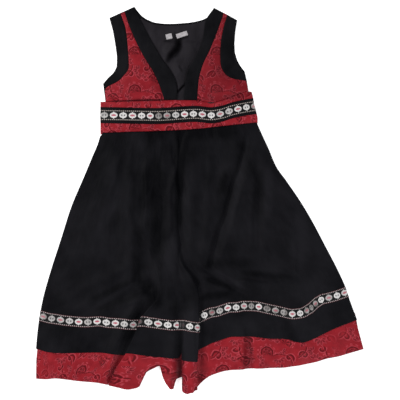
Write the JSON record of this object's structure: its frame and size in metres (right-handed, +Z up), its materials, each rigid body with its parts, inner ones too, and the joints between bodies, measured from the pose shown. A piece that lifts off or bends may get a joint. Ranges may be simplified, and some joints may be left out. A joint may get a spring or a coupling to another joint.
{
  "type": "dirndl",
  "caption": "Sleeveless dirndl laid flat: wide V neck, red brocade front between black bands, brocade waistband with woven ribbon, pleated flared skirt with ribbon and red hem band.",
  "frame": {"origin": "centre of the bounding box in plan, on the underside of the back of the skirt, where the dress rests on the table", "axes": "+Y along the dress towards the neck, +X to the right as seen from above, +Z up out of the front of the dress"},
  "size_m": [0.735, 0.867, 0.0227],
  "materials": {
    "black_cotton": "matt fine plain weave",
    "skirt_cotton": "matt light cotton weave",
    "red_brocade": "jacquard with satin ground and raised figures",
    "lining_satin": "soft satin",
    "woven_ribbon": "woven folk ribbon in black, silver and red",
    "label_tape": "plain pale label tape, left bare"
  },
  "bodies": {
    "root": {"back_bodice": "black_cotton", "back_lining": "lining_satin", "label_large": "label_tape", "label_small": "label_tape", "front_cup_left": "red_brocade", "front_cup_right": "red_brocade", "neckband_left": "black_cotton", "neckband_right": "black_cotton", "armhole_band_left": "black_cotton", "armhole_band_right": "black_cotton", "waistband_back": "red_brocade", "waistband_front": "red_brocade", "waist_strip_front": "black_cotton", "waist_ribbon_front": "woven_ribbon", "skirt_back": "skirt_cotton", "skirt_front": "skirt_cotton", "skirt_ribbon_front": "woven_ribbon", "hem_back": "red_brocade", "hem_front": "red_brocade"}
  },
  "joints": []
}
